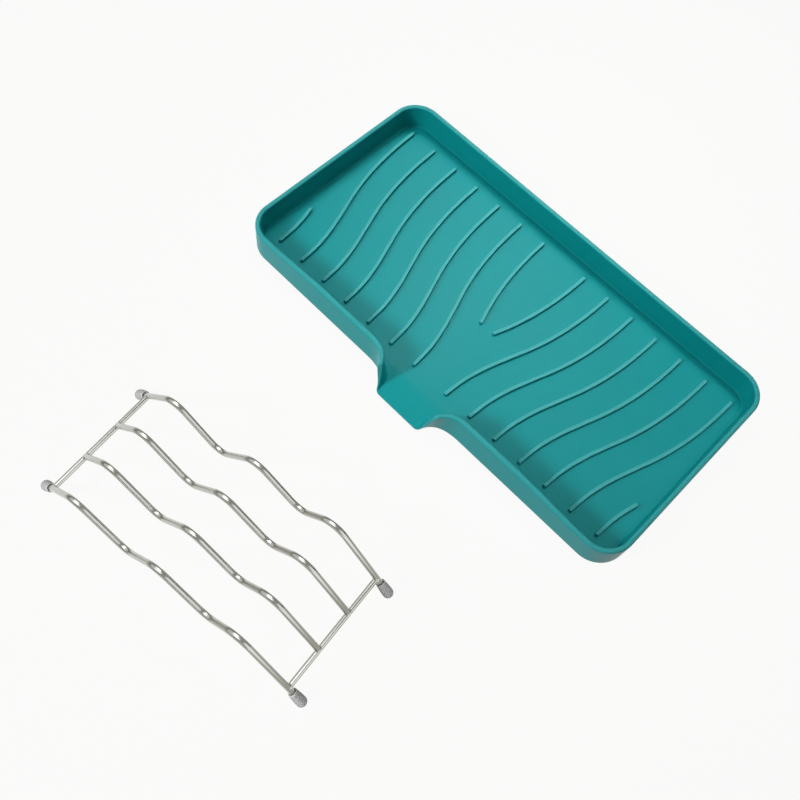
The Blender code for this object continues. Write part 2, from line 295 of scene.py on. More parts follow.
def right_side_stations():
    """(place, share of wall height, lean) along the outer foot, from the lip's middle to the rear wall's.

    The lean is how far in the wall goes for each metre that it goes up.
    """
    half_length, half_width = TRAY_LENGTH / 2, TRAY_WIDTH / 2
    corner = Vector((LIP_WIDTH / 2, -half_width - SPOUT_REACH))
    mouth = Vector((SPOUT_MOUTH / 2, -half_width))
    across = corner - mouth
    curve = [mouth + Vector((across.x * u, across.y * v)) for u, v in SPOUT_CURVE_SHARES]
    lip_end = corner - Vector((LIP_CORNER, 0))
    flat = 1 + SPOUT_CORNER_SHARE
    stations = []
    for i in range(LIP_STEPS):
        stations.append(spout_station(Vector((lip_end.x * i / LIP_STEPS, lip_end.y)), flat))
    for i in range(LIP_CORNER_STEPS):
        t = i / LIP_CORNER_STEPS
        place = lip_end * (1 - t)**2 + corner * 2 * t * (1 - t) + curve[-1] * t**2
        stations.append(spout_station(place, 1 + SPOUT_CORNER_SHARE * (1 - t)))
    for i in range(CURVE_STEPS + 1):
        t = 1 - i / CURVE_STEPS
        stations.append(spout_station(bezier(curve, t), t))
    wall_end = half_length - CORNER_RADIUS
    for i in range(1, WALL_STEPS):
        x = mouth.x + (wall_end - mouth.x) * i / WALL_STEPS
        lean = WALL_LEAN / WALL_HEIGHT * ease(wall_end - x, 0.0, LEAN_RUN)
        stations.append((Vector((x, -half_width)), 1.0, lean))
    inner_y = half_width - CORNER_RADIUS
    front = arc(Vector((wall_end, -inner_y)), CORNER_RADIUS, -90, 0, CORNER_STEPS)
    side = [Vector((half_length, inner_y * (2 * i / SIDE_STEPS - 1))) for i in range(1, SIDE_STEPS)]
    rear = arc(Vector((wall_end, inner_y)), CORNER_RADIUS, 0, 90, CORNER_STEPS)
    back = [Vector((wall_end * (1 - i / REAR_STEPS), half_width)) for i in range(1, REAR_STEPS + 1)]
    stations += [(place, 1.0, 0.0) for place in front + side + rear + back]
    return stations


def tray_stations():
    """The whole outline, counter-clockwise from the lip's middle."""
    right = right_side_stations()
    left = [(Vector((-place.x, place.y)), height, lean) for place, height, lean in right[1:-1]]
    return right + left[::-1]


def inward_normals(places):
    """Mitred normals into the tray, for a counter-clockwise outline."""
    found = []
    for i, place in enumerate(places):
        before = (place - places[i - 1]).normalized()
        after = (places[(i + 1) % len(places)] - place).normalized()
        bisector = (before + after).normalized()
        found.append(Vector((-bisector.y, bisector.x)) / max(bisector.dot(before), MITRE_LEAST_COSINE))
    return found


def spout_floor_z(y):
    """The floor's height: level in the tray, falling to the lip in the spout."""
    start = -TRAY_WIDTH / 2 + WALL_THICKNESS + WALL_DRAFT + FLOOR_FILLET
    end = -TRAY_WIDTH / 2 - SPOUT_REACH
    share = (start - y) / (start - end)
    return FLOOR_THICKNESS - (FLOOR_THICKNESS - LIP_THICKNESS) * max(share, 0.0)


def foot_section():
    """(distance in from the outer face, height) round the tray's foot, from its underside up."""
    return arc(Vector((BASE_ROUND, BASE_ROUND)), BASE_ROUND, 270, 180, BASE_STEPS)


def wall_section():
    """(distance in from the outer face, height) round an upright wall, from its outer rim to the floor."""
    top = WALL_HEIGHT - RIM_ROUND
    outer = arc(Vector((RIM_ROUND, top)), RIM_ROUND, 180, 90, RIM_STEPS)
    inner = arc(Vector((WALL_THICKNESS - RIM_ROUND, top)), RIM_ROUND, 90, 0, RIM_STEPS)
    foot = Vector((WALL_THICKNESS + WALL_DRAFT + FLOOR_FILLET, FLOOR_THICKNESS + FLOOR_FILLET))
    return outer + inner + arc(foot, FLOOR_FILLET, 180, 270, FILLET_STEPS)


def wall_rings(mesh):
    """The tray's section at every station of its outline, each from the underside to the floor."""
    stations = tray_stations()
    normals = inward_normals([place for place, _, _ in stations])
    rings = []
    for (place, height, lean), normal in zip(stations, normals):
        width = LIP_SECTION_SHARE + (1 - LIP_SECTION_SHARE) * ease(height)
        ring = [mesh.verts.new((*(place + normal * inset), z)) for inset, z in foot_section()]
        for inset, z in wall_section():
            z = spout_floor_z(place.y + normal.y * inset * width) + height * (z - FLOOR_THICKNESS)
            ring.append(mesh.verts.new((*(place + normal * (inset * width + lean * z)), z)))
        rings.append(ring)
    return rings


def bridge(mesh, first, second):
    """Faces between two rows of the same length."""
    for a, b, c, d in zip(first, second, second[1:], first[1:]):
        mesh.faces.new((a, b, c, d))


def spout_rows(mesh, floor, mouth):
    """The spout's floor as rows across it, from the lip to the mouth. Gives the mouth's row."""
    count, across = len(floor), 2 * LIP_STEPS
    below = floor[count - LIP_STEPS:] + floor[:LIP_STEPS + 1]
    for i in range(LIP_STEPS + 1, mouth + 1):
        left, right = floor[count - i], floor[i]
        inner = [mesh.verts.new(left.co.lerp(right.co, k / across)) for k in range(1, across)]
        row = [left, *inner, right]
        bridge(mesh, below, row)
        below = row
    return below


def rib_sway(share):
    """How far along its sway a rib is at a share of its span from the front: a smooth curve by the knots."""
    knots = RIB_SWAY_SHARES
    last = len(knots) - 2
    k = next((i for i in range(last + 1) if share <= knots[i + 1][0]), last)
    before, start, end, after = knots[max(k - 1, 0)], knots[k], knots[k + 1], knots[min(k + 2, last + 1)]
    step = end[0] - start[0]
    t = (share - start[0]) / step
    slope_in = (end[1] - before[1]) / (end[0] - before[0]) * step
    slope_out = (after[1] - start[1]) / (after[0] - start[0]) * step
    rise = end[1] - start[1]
    return start[1] + slope_in * t + (3 * rise - 2 * slope_in - slope_out) * t**2 + (
        slope_in + slope_out - 2 * rise) * t**3


def rib_line(index):
    """The centre line of one right-hand rib, from front to rear.

    Rib 0 starts where it is clear of the tray's middle, rib 1 is the first whole one, and the last rib ends
    where it would meet the wall.
    """
    front, rear = 0.0, 1.0
    offset = RIB_FIRST + RIB_PITCH * (index - 1)
    if index == 0:
        shares = [i / RIB_TRIM_STEPS for i in range(RIB_TRIM_STEPS)]
        front = next(share for share in shares if offset + RIB_SWING * rib_sway(share) >= RIB_CENTRE_GAP)
    if index == RIBS_A_SIDE - 1:
        rear = RIB_SHORT_RUN / RIB_SPAN
    steps = max(round(RIB_STEPS * (rear - front)), RIB_LEAST_STEPS)
    line = []
    for i in range(steps + 1):
        share = front + (rear - front) * i / steps
        line.append(Vector((offset + RIB_SWING * rib_sway(share), RIB_SPAN * (share - 0.5))))
    return line


def rib_outline(line, half_width):
    """Round a band with blunt ends that lies along a line: right side, rear end, left side, front end."""
    def side(sign):
        found = []
        for before, at, after in zip(line, line[1:], line[2:]):
            along = (after - before).normalized()
            found.append(at + sign * half_width * Vector((-along.y, along.x)))
        return found

    def end(tip, direction):
        heading = math.degrees(math.atan2(direction.y, direction.x))
        spare = RIB_WIDTH / 2 - RIB_END_ROUND
        middle = tip - direction * RIB_END_ROUND
        radius = half_width - spare
        found = []
        for start, sign in ((heading - 90, -1), (heading, 1)):
            centre = middle + sign * spare * Vector((-direction.y, direction.x))
            found += arc(centre, radius, start, start + 90, RIB_END_STEPS // 2 - 1)
        return found

    ahead = (line[-1] - line[-2]).normalized()
    behind = (line[0] - line[1]).normalized()
    return side(-1) + end(line[-1], ahead) + side(1)[::-1] + end(line[0], behind)


def rib_section():
    """(half width, height over the floor) up one side of a rib, from the soft foot to its rounded top."""
    half = RIB_WIDTH / 2
    foot = arc(Vector((half + RIB_FOOT_ROUND, RIB_FOOT_ROUND)), RIB_FOOT_ROUND, 270, 180, RIB_ROUND_STEPS)
    centre = Vector((half - RIB_TOP_ROUND, RIB_HEIGHT - RIB_TOP_ROUND))
    top = arc(centre, RIB_TOP_ROUND, 0, 90, RIB_ROUND_STEPS)
    return foot + top


def add_rib(mesh, line):
    """One rib, open below. Gives the loop of its foot, which the floor joins."""
    loops = []
    for half_width, height in rib_section():
        outline = rib_outline(line, half_width)
        loops.append([mesh.verts.new((*point, FLOOR_THICKNESS + height)) for point in outline])
    for lower, upper in zip(loops, loops[1:]):
        bridge(mesh, lower + lower[:1], upper + upper[:1])
    side, end = len(line) - 2, RIB_END_STEPS
    top = loops[-1]
    right, rear = top[:side], top[side:side + end]
    left, front = top[side + end:2 * side + end][::-1], top[2 * side + end:]
    bridge(mesh, right, left)
    mesh.faces.new([right[-1], *rear, left[-1]])
    mesh.faces.new([left[0], *front, right[0]])
    return loops[0]


def fill_floor(mesh, outline, feet):
    """Triangles over the tray's floor inside its outline, left open under the ribs."""
    corners = [corner for loop in (outline, *feet) for corner in loop]
    loops, start = [], 0
    for loop in (outline, *feet):
        loops.append(list(range(start, start + len(loop))))
        start += len(loop)
    found = geometry.delaunay_2d_cdt([corner.co.to_2d() for corner in corners], [], loops, 1, FILL_TOLERANCE)
    _, _, faces, sources, _, kept_in = found
    for face, inside in zip(faces, kept_in):
        if inside == [0]:
            mesh.faces.new([corners[sources[index][0]] for index in face])


def tray_data():
    """The tray as one closed mesh: walls, spout, underside, and a floor filled in round the ribs' feet."""
    mesh = bmesh.new()
    rings = wall_rings(mesh)
    for ring, following in zip(rings, rings[1:] + rings[:1]):
        bridge(mesh, ring, following)
    # The station where the spout's side meets the front wall
    mouth = LIP_STEPS + LIP_CORNER_STEPS + CURVE_STEPS
    floor = [ring[-1] for ring in rings]
    mouth_row = spout_rows(mesh, floor, mouth)
    outline = floor[mouth:len(floor) - mouth + 1] + mouth_row[1:-1]
    feet = []
    for index in range(RIBS_A_SIDE):
        for side in (1, -1):
            feet.append(add_rib(mesh, [Vector((side * point.x, point.y)) for point in rib_line(index)]))
    fill_floor(mesh, outline, feet)
    mesh.faces.new([ring[0] for ring in rings][::-1])
    bmesh.ops.remove_doubles(mesh, verts=mesh.verts, dist=FILL_TOLERANCE)
    return finished_data("tray_moulding", mesh)


def set_true_normals(data):
    """Normals with which the broad faces look flat right up to their rounded edges."""
    normals = [Vector() for _ in data.vertices]
    for face in data.polygons:
        for index in face.vertices:
            normals[index] += face.normal * face.area
    for vertex in data.vertices:
        if abs(vertex.co.z - FLOOR_THICKNESS) < LEVEL_TOLERANCE:
            normals[vertex.index] = Vector((0, 0, 1))
    data.normals_split_custom_set_from_vertices([normal.normalized() for normal in normals])


# Rack

def rack_matrix():
    """The rack's own frame: X along its length and Z up from the surface it stands on."""
    foot_reach = RACK_WIDTH / 2 + CAP_DIAMETER / 2
    depth = foot_reach * math.cos(RACK_TURN) + RACK_LENGTH / 2 * math.sin(RACK_TURN)
    place = (RACK_SHIFT, -TRAY_WIDTH / 2 - SPOUT_REACH - RACK_STANDOFF - depth, 0.0)
    return Matrix.Translation(place) @ Matrix.Rotation(RACK_TURN, 4, "Z")


def wave_corners():
    """The wave's corners before they are bent round, in the rack's own length and height."""
    foot = CAP_DIAMETER / 2
    return [Vector((RACK_LENGTH / 2 * along, foot + RACK_RISE * up)) for along, up in WAVE_SHARES]


def bent_line(corners):
    """The corners joined by straights and round bends: humps have one radius and valleys another."""
    found = [corners[0]]
    for i in range(1, len(corners) - 1):
        back = (corners[i - 1] - corners[i]).normalized()
        ahead = (corners[i + 1] - corners[i]).normalized()
        radius = HUMP_BEND if back.y < 0 else VALLEY_BEND
        half = back.angle(ahead) / 2
        centre = corners[i] + (back + ahead).normalized() * radius / math.sin(half)
        start = (corners[i] + back * radius / math.tan(half)) - centre
        end = (corners[i] + ahead * radius / math.tan(half)) - centre
        turn = start.angle_signed(end)
        for k in range(BEND_STEPS + 1):
            angle = -turn * k / BEND_STEPS
            across = Vector((-start.y, start.x))
            found.append(centre + start * math.cos(angle) + across * math.sin(angle))
    found.append(corners[-1])
    return found


def rod_distance():
    """How far up the wire from the middle of a foot's round tip the cross rod is welded."""
    return CAP_LENGTH - CAP_DIAMETER / 2 + ROD_TO_CAP + ROD_DIAMETER / 2


def rod_places():
    """The middles of the left and the right rod, in the rack's own length and height."""
    corners = wave_corners()
    distance = rod_distance()
    return towards(corners[0], corners[1], distance), towards(corners[-1], corners[-2], distance)


def wire_line(outer):
    """A wire's centre line: the outer ones run down into the caps, the inner ones into the rods' welds."""
    line = bent_line(wave_corners())
    if outer:
        setback = CAP_TIP_WALL - CAP_DIAMETER / 2
    else:
        setback = rod_distance() - ROD_DIAMETER * INNER_WIRE_PAST_ROD_SHARE
    line[0] = towards(line[0], line[1], setback)
    line[-1] = towards(line[-1], line[-2], setback)
    return line


def wire_y(index):
    """A wire's Y in the rack's own frame. Wire 0 is the rear one."""
    return RACK_WIDTH / 2 - RACK_WIDTH * index / (WIRES - 1)


def tube_rings(points, radius):
    """(centre, ring radius, direction, distance along) for a tube with softly rounded ends."""
    rounding = radius * WIRE_END_ROUND_SHARE
    rings = []
    for k in range(TUBE_END_STEPS):
        angle = math.pi / 2 * k / TUBE_END_STEPS
        ahead = (points[1] - points[0]).normalized()
        along = rounding * (1 - math.cos(angle))
        rings.append((points[0] + ahead * along, radius - rounding * (1 - math.sin(angle)), ahead, along))
    walked = rounding
    last = towards(points[0], points[1], rounding)
    body = [last, *points[1:-1], towards(points[-1], points[-2], rounding)]
    for i, at in enumerate(body):
        walked += (at - last).length
        last = at
        ahead = (body[min(i + 1, len(body) - 1)] - body[max(i - 1, 0)]).normalized()
        rings.append((at, radius, ahead, walked))
    for k in range(1, TUBE_END_STEPS + 1):
        angle = math.pi / 2 * k / TUBE_END_STEPS
        ahead = (points[-1] - points[-2]).normalized()
        along = rounding * math.sin(angle)
        rings.append((last + ahead * along, radius - rounding * (1 - math.cos(angle)), ahead, walked + along))
    return rings


def tube_data(name, points, diameter, across, place):
    """A round wire along points, with a UV map in metres: along the wire, and round it.

    across is a direction square to the whole line, and place the frame that the points are in.
    """
    mesh = bmesh.new()
    uv = mesh.loops.layers.uv.new("wire_length")
    rings = []
    for centre, radius, ahead, walked in tube_rings(points, diameter / 2):
        upward = ahead.cross(across).normalized()
        ring = []
        for k in range(TUBE_SIDES):
            angle = 2 * math.pi * k / TUBE_SIDES
            ring.append(mesh.verts.new(place @ (
                centre + across * radius * math.cos(angle) + upward * radius * math.sin(angle))))
        rings.append((ring, walked))
    girth = math.pi * diameter
    for (first, start), (second, end) in zip(rings, rings[1:]):
        for k in range(TUBE_SIDES):
            following = (k + 1) % TUBE_SIDES
            face = mesh.faces.new((first[k], second[k], second[following], first[following]))
            corners = ((start, k), (end, k), (end, k + 1), (start, k + 1))
            for loop, (along, side) in zip(face.loops, corners):
                loop[uv].uv = (along, girth * side / TUBE_SIDES)
    for (ring, walked), flip in ((rings[0], 1), (rings[-1], -1)):
        face = mesh.faces.new(ring[::flip])
        for loop in face.loops:
            loop[uv].uv = (walked, 0.0)
    return finished_data(name, mesh)


def turned_data(name, profile, place):
    """A closed turned shape from a profile of (radius, height) that starts and ends on the axis."""
    mesh = bmesh.new()
    rings = []
    for radius, height in profile:
        if radius == 0:
            rings.append([mesh.verts.new(place @ Vector((0, 0, height)))])
            continue
        ring = []
        for k in range(CAP_SIDES):
            angle = 2 * math.pi * k / CAP_SIDES
            x, y = radius * math.cos(angle), radius * math.sin(angle)
            ring.append(mesh.verts.new(place @ Vector((x, y, height))))
        rings.append(ring)
    for first, second in zip(rings, rings[1:]):
        for k in range(CAP_SIDES):
            following = (k + 1) % CAP_SIDES
            if len(first) == 1:
                mesh.faces.new((first[0], second[k], second[following]))
            elif len(second) == 1:
                mesh.faces.new((first[k], second[0], first[following]))
            else:
                mesh.faces.new((first[k], second[k], second[following], first[following]))
    return finished_data(name, mesh)


def cap_profile():
    """A soft cap as (radius, height): a snug blind bore, a rolled mouth, a slight taper and a round tip."""
    radius = CAP_DIAMETER / 2
    bore = WIRE_DIAMETER / 2 + CAP_FIT
    top = CAP_LENGTH - radius
    floor = -radius + CAP_TIP_WALL - CAP_FIT
    lip = CAP_MOUTH_DIAMETER / 2
    chamfer = bore * CAP_BORE_CHAMFER_SHARE
    profile = [(0.0, floor), (bore - chamfer, floor), (bore, floor + chamfer), (bore, top - CAP_MOUTH_ROUND)]
    middle = Vector(((bore + lip) / 2, top - CAP_MOUTH_ROUND))
    half = (lip - bore) / 2
    for k in range(1, CAP_MOUTH_STEPS):
        angle = math.pi * (1 - k / CAP_MOUTH_STEPS)
        profile.append((middle.x + half * math.cos(angle), middle.y + CAP_MOUTH_ROUND * math.sin(angle)))
    for k in range(CAP_TAPER_STEPS):
        share = k / CAP_TAPER_STEPS
        swell = lip + (radius - lip) * math.sin(share * math.pi / 2)
        profile.append((swell, (top - CAP_MOUTH_ROUND) * (1 - share)))
    for i in range(CAP_TIP_STEPS + 1):
        angle = math.pi / 2 * i / CAP_TIP_STEPS
        profile.append((radius * math.cos(angle), -radius * math.sin(angle)))
    profile[-1] = (0.0, -radius)
    return profile


def add_bead(mesh, centre, along, across, phase):
    """A small uneven weld bead, longest along the piece it runs over."""
    out = along.cross(across).normalized()
    poles = [mesh.verts.new(centre - out * BEAD_THICK), mesh.verts.new(centre + out * BEAD_THICK)]
    rings = []
    for i in range(1, BEAD_RINGS):
        tilt = math.pi * i / BEAD_RINGS
        ring = []
        for k in range(BEAD_SIDES):
            angle = 2 * math.pi * k / BEAD_SIDES
            ripple = 1 + BEAD_RIPPLE * math.sin(3 * angle + phase) * math.sin(tilt)
            ring.append(mesh.verts.new(
                centre + along * BEAD_ALONG * ripple * math.sin(tilt) * math.cos(angle)
                + across * BEAD_ACROSS * ripple * math.sin(tilt) * math.sin(angle)
                - out * BEAD_THICK * math.cos(tilt)))
        rings.append(ring)
    for first, second in zip(rings, rings[1:]):
        bridge(mesh, first + first[:1], second + second[:1])
    for pole, ring in zip(poles, (rings[0], rings[-1])):
        for a, b in zip(ring, ring[1:] + ring[:1]):
            mesh.faces.new((pole, a, b))


def bead_data(place):
    """The weld beads: where each rod meets the outer wires, and where each inner wire meets a rod."""
    mesh = bmesh.new()
    corners = wave_corners()
    turn = place.to_3x3()
    ends = zip(rod_places(), (corners[1] - corners[0], corners[-2] - corners[-1]))
    for side, (rod, up_wire) in enumerate(ends):
        wire_way = Vector((up_wire.x, 0, up_wire.y)).normalized()
        for i in range(WIRES):
            centre = Vector((rod.x, wire_y(i), rod.y))
            if i in OUTER_WIRES:
                along, across = wire_way, Vector((0, -1 if i == 0 else 1, 0))
            else:
                along, across = Vector((0, 1, 0)), wire_way
            add_bead(mesh, place @ (centre + across * BEAD_OFFSET), turn @ along, turn @ across, i + side)
    return finished_data("weld_beads", mesh)


# Materials

def connect(tree, socket, value):
    """Feed a socket with another node's output, or set it to a plain value."""
    if isinstance(value, bpy.types.NodeSocket):
        tree.links.new(value, socket)
    else:
        socket.default_value = value


def add_node(tree, kind, **values):
    """A node with its inputs fed or set by socket name, with _ for spaces."""
    node = tree.nodes.new(kind)
    for name, value in values.items():
        connect(tree, node.inputs[name.replace("_", " ")], value)
    return node


def place_group(tree, group, **values):
    """A node group in a material, with its inputs fed or set by socket name."""
    node = tree.nodes.new("ShaderNodeGroup")
    node.node_tree = group
    for name, value in values.items():
        connect(tree, node.inputs[name], value)
    return node


def calculate(tree, operation, *values, clamp=False):
    """The result of a sum on sockets and plain numbers."""
    node = tree.nodes.new("ShaderNodeMath")
    node.operation = operation
    node.use_clamp = clamp
    for socket, value in zip(node.inputs, values):
        connect(tree, socket, value)
    return node.outputs[0]


def blend_colours(tree, first, second, share, blend="MIX"):
    """Two colours blended by share. A colour is a socket or three plain numbers."""
    mixed = tree.nodes.new("ShaderNodeMix")
    mixed.data_type = "RGBA"
    mixed.blend_type = blend
    connect(tree, mixed.inputs["Factor"], share)
    sockets = [socket for socket in mixed.inputs if socket.type == "RGBA"]
    for socket, colour in zip(sockets, (first, second)):
        connect(tree, socket, (*colour, 1.0) if isinstance(colour, tuple) else colour)
    return next(socket for socket in mixed.outputs if socket.type == "RGBA")


def grey_ramp(tree, value, stops):
    """Greys along a value from 0 to 1; each stop gives its place, its grey and how warm that grey is."""
    ramp = add_node(tree, "ShaderNodeValToRGB", Fac=value)
    elements = ramp.color_ramp.elements
    elements.remove(elements[1])
    for i, (position, grey, warmth) in enumerate(stops):
        element = elements[0] if i == 0 else elements.new(position)
        element.position = position
        element.color = (grey, grey, grey * (1 - warmth), 1.0)
    return ramp.outputs["Color"]


def painted_by_facing(tree, colour, stops):
    """Painted shade and reflection: the colour times a grey that depends on how far the surface turns away
    from the eye.
    """
    facing = add_node(tree, "ShaderNodeLayerWeight", Blend=0.5)
    return blend_colours(tree, colour, grey_ramp(tree, facing.outputs["Facing"], stops), 1.0, "MULTIPLY")


def spread_value(tree, share, span):
    """A value that runs through its span as share runs from 0 to 1."""
    return add_node(tree, "ShaderNodeMapRange", Value=share, To_Min=span[0], To_Max=span[1]).outputs["Result"]


def add_bump(tree, shader, height, strength, distance):
    """Tilt a shader's normal by a height from 0 to 1, which stands for the distance in metres."""
    bump = add_node(tree, "ShaderNodeBump", Strength=strength, Distance=distance, Height=height)
    tree.links.new(bump.outputs["Normal"], shader.inputs["Normal"])


def new_group(name, inputs, outputs):
    """A shader node group, with the sockets that its inputs come in by and its outputs leave by."""
    group = bpy.data.node_groups.new(name, "ShaderNodeTree")
    for socket, kind, value in inputs:
        made = group.interface.new_socket(socket, in_out="INPUT", socket_type=kind)
        if value is not None:
            made.default_value = value
    for socket, kind in outputs:
        group.interface.new_socket(socket, in_out="OUTPUT", socket_type=kind)
    return group, group.nodes.new("NodeGroupInput").outputs, group.nodes.new("NodeGroupOutput").inputs


def cloudy_tone_group():
    """Soft patches from 0 to 1, for colour and gloss that drift over a surface."""
    group, given, result = new_group(
        "cloudy_tone",
        [("Vector", "NodeSocketVector", None), ("Scale", "NodeSocketFloat", 40.0),
         ("Contrast", "NodeSocketFloat", 1.0)],
        [("Tone", "NodeSocketFloat")])
    noise = add_node(
        group, "ShaderNodeTexNoise", Vector=given["Vector"], Scale=given["Scale"], Detail=4.0, Roughness=0.55)
    centred = calculate(group, "SUBTRACT", noise.outputs["Fac"], 0.5)
    spread = calculate(group, "MULTIPLY_ADD", centred, given["Contrast"], 0.5, clamp=True)
    group.links.new(spread, result["Tone"])
    return group


def fine_grain_group():
    """The height of a fine moulded grain, from two sizes of noise."""
    group, given, result = new_group(
        "fine_grain",
        [("Vector", "NodeSocketVector", None), ("Scale", "NodeSocketFloat", 3000.0)],
        [("Height", "NodeSocketFloat")])
    fine = add_node(
        group, "ShaderNodeTexNoise", Vector=given["Vector"], Scale=given["Scale"], Detail=2.0, Roughness=0.6)
    coarser = calculate(group, "MULTIPLY", given["Scale"], COARSE_GRAIN_SHARE)
    soft = add_node(group, "ShaderNodeTexNoise", Vector=given["Vector"], Scale=coarser, Detail=1.0)
    both = calculate(group, "ADD", fine.outputs["Fac"], soft.outputs["Fac"])
    group.links.new(both, result["Height"])
    return group


def drawn_streaks_group():
    """Fine lines along a drawn wire, from 0 to 1. Vector is the wire's UV in metres."""
    group, given, result = new_group(
        "drawn_streaks",
        [("Vector", "NodeSocketVector", None), ("Along", "NodeSocketFloat", 60.0),
         ("Across", "NodeSocketFloat", 5000.0)],
        [("Streak", "NodeSocketFloat")])
    stretch = add_node(group, "ShaderNodeCombineXYZ", X=given["Along"], Y=given["Across"], Z=1.0)
    scaled = group.nodes.new("ShaderNodeVectorMath")
    scaled.operation = "MULTIPLY"
    group.links.new(given["Vector"], scaled.inputs[0])
    group.links.new(stretch.outputs[0], scaled.inputs[1])
    noise = add_node(
        group, "ShaderNodeTexNoise", Vector=scaled.outputs[0], Scale=1.0, Detail=3.0, Roughness=0.6)
    group.links.new(noise.outputs["Fac"], result["Streak"])
    return group


def painted_top_sheen_group():
    """Where the painted sheen goes: 1 on the tops above a height and 0 below it and on the sides, from place
    and normal.
    """
    group, given, result = new_group(
        "painted_top_sheen",
        [("Vector", "NodeSocketVector", None), ("Normal", "NodeSocketVector", None),
         ("Low", "NodeSocketFloat", 0.001), ("High", "NodeSocketFloat", 0.002)],
        [("Share", "NodeSocketFloat")])
    place = add_node(group, "ShaderNodeSeparateXYZ", Vector=given["Vector"])
    facing = add_node(group, "ShaderNodeSeparateXYZ", Vector=given["Normal"])
    height = add_node(
        group, "ShaderNodeMapRange", Value=place.outputs["Z"], From_Min=given["Low"], From_Max=given["High"])
    up = add_node(
        group, "ShaderNodeMapRange", Value=facing.outputs["Z"], From_Min=SHEEN_FACING[0],
        From_Max=SHEEN_FACING[1])
    both = calculate(group, "MULTIPLY", height.outputs["Result"], up.outputs["Result"])
    group.links.new(both, result["Share"])
    return group


def new_material(name):
    """A material with its node tree and its Principled shader."""
    material = bpy.data.materials.new(name)
    material.use_nodes = True
    return material, material.node_tree, material.node_tree.nodes["Principled BSDF"]


def teal_silicone(groups):
    """Satin silicone: even colour with a faint cloud in it, a painted sheen that makes the tops of ribs and
    rim paler, and a fine grain.
    """
    material, tree, shader = new_material("teal_silicone")
    coordinates = tree.nodes.new("ShaderNodeTexCoord").outputs
    place = coordinates["Object"]
    cloud = place_group(tree, groups["cloudy_tone"], Vector=place, Scale=35.0, Contrast=1.6)
    grain = place_group(tree, groups["fine_grain"], Vector=place, Scale=4200.0)
    low, high = (FLOOR_THICKNESS + RIB_HEIGHT * share for share in SHEEN_HEIGHT_SHARES)
    sheen_mask = place_group(
        tree, groups["painted_top_sheen"], Vector=place, Normal=coordinates["Normal"], Low=low, High=high)
    colour = blend_colours(tree, *SILICONE_COLOURS, cloud.outputs["Tone"])
    height = add_node(tree, "ShaderNodeSeparateXYZ", Vector=place)
    rim = add_node(
        tree, "ShaderNodeMapRange", Value=height.outputs["Z"], From_Min=WALL_HEIGHT / 2,
        From_Max=WALL_HEIGHT, To_Min=1.0, To_Max=RIM_SHEEN_SHARE)
    # Painted sheen: the paler teal blended in on upward tops, with less of it on the rim
    sheen_share = calculate(tree, "MULTIPLY", sheen_mask.outputs["Share"], rim.outputs["Result"])
    tree.links.new(blend_colours(tree, colour, SILICONE_PAINTED_SHEEN, sheen_share), shader.inputs["Base Color"])
    tree.links.new(spread_value(tree, cloud.outputs["Tone"], SILICONE_ROUGHNESS), shader.inputs["Roughness"])
    add_bump(tree, shader, grain.outputs["Height"], strength=0.25, distance=GRAIN_DEPTH)
    shader.inputs["IOR"].default_value = 1.41
    shader.inputs["Specular IOR Level"].default_value = 0.26
    return material


def bright_steel(groups):
    """Bright drawn stainless wire: fine lines along it, a gloss that drifts, and painted dark reflection
    bands by how far it turns from the eye.
    """
    material, tree, shader = new_material("bright_steel")
    length = tree.nodes.new("ShaderNodeUVMap")
    length.uv_map = "wire_length"
    place = tree.nodes.new("ShaderNodeTexCoord").outputs["Object"]
    streaks = place_group(
        tree, groups["drawn_streaks"], Vector=length.outputs["UV"], Along=70.0, Across=4200.0)
    cloud = place_group(tree, groups["cloudy_tone"], Vector=place, Scale=160.0, Contrast=2.0)
    colour = blend_colours(tree, *STEEL_COLOURS, streaks.outputs["Streak"])
    # Painted reflection: dark and light bands painted into the steel's colour by how far it turns from the
    # eye
    tree.links.new(painted_by_facing(tree, colour, STEEL_PAINTED_REFLECTIONS), shader.inputs["Base Color"])
    tree.links.new(spread_value(tree, cloud.outputs["Tone"], STEEL_ROUGHNESS), shader.inputs["Roughness"])
    add_bump(tree, shader, streaks.outputs["Streak"], strength=0.12, distance=STREAK_DEPTH)
    shader.inputs["Metallic"].default_value = 1.0
    return material


def weld_steel(groups):
    """The same steel where it was melted: slightly duller and softly rippled."""
    material, tree, shader = new_material("weld_steel")
    place = tree.nodes.new("ShaderNodeTexCoord").outputs["Object"]
    cloud = place_group(tree, groups["cloudy_tone"], Vector=place, Scale=700.0, Contrast=2.4)
    colour = blend_colours(tree, *WELD_COLOURS, cloud.outputs["Tone"])
    tree.links.new(colour, shader.inputs["Base Color"])
    tree.links.new(spread_value(tree, cloud.outputs["Tone"], WELD_ROUGHNESS), shader.inputs["Roughness"])
    add_bump(tree, shader, cloud.outputs["Tone"], strength=0.35, distance=WELD_DEPTH)
    shader.inputs["Metallic"].default_value = 1.0
    return material


def clear_plastic(groups):
    """Soft plastic, clear but hazy enough to look milky grey, with a low gloss and painted shade that darkens
    it towards its outline.
    """
    material, tree, shader = new_material("clear_plastic")
    place = tree.nodes.new("ShaderNodeTexCoord").outputs["Object"]
    cloud = place_group(tree, groups["cloudy_tone"], Vector=place, Scale=420.0, Contrast=1.8)
    colour = blend_colours(tree, *CAP_COLOURS, cloud.outputs["Tone"])
    # Painted shade: the colour darkens towards the cap's outline, by how far it turns from the eye
    tree.links.new(painted_by_facing(tree, colour, CAP_PAINTED_EDGE_SHADE), shader.inputs["Base Color"])
    tree.links.new(spread_value(tree, cloud.outputs["Tone"], CAP_ROUGHNESS), shader.inputs["Roughness"])
    shader.inputs["IOR"].default_value = 1.46
    shader.inputs["Specular IOR Level"].default_value = 0.15
    return material


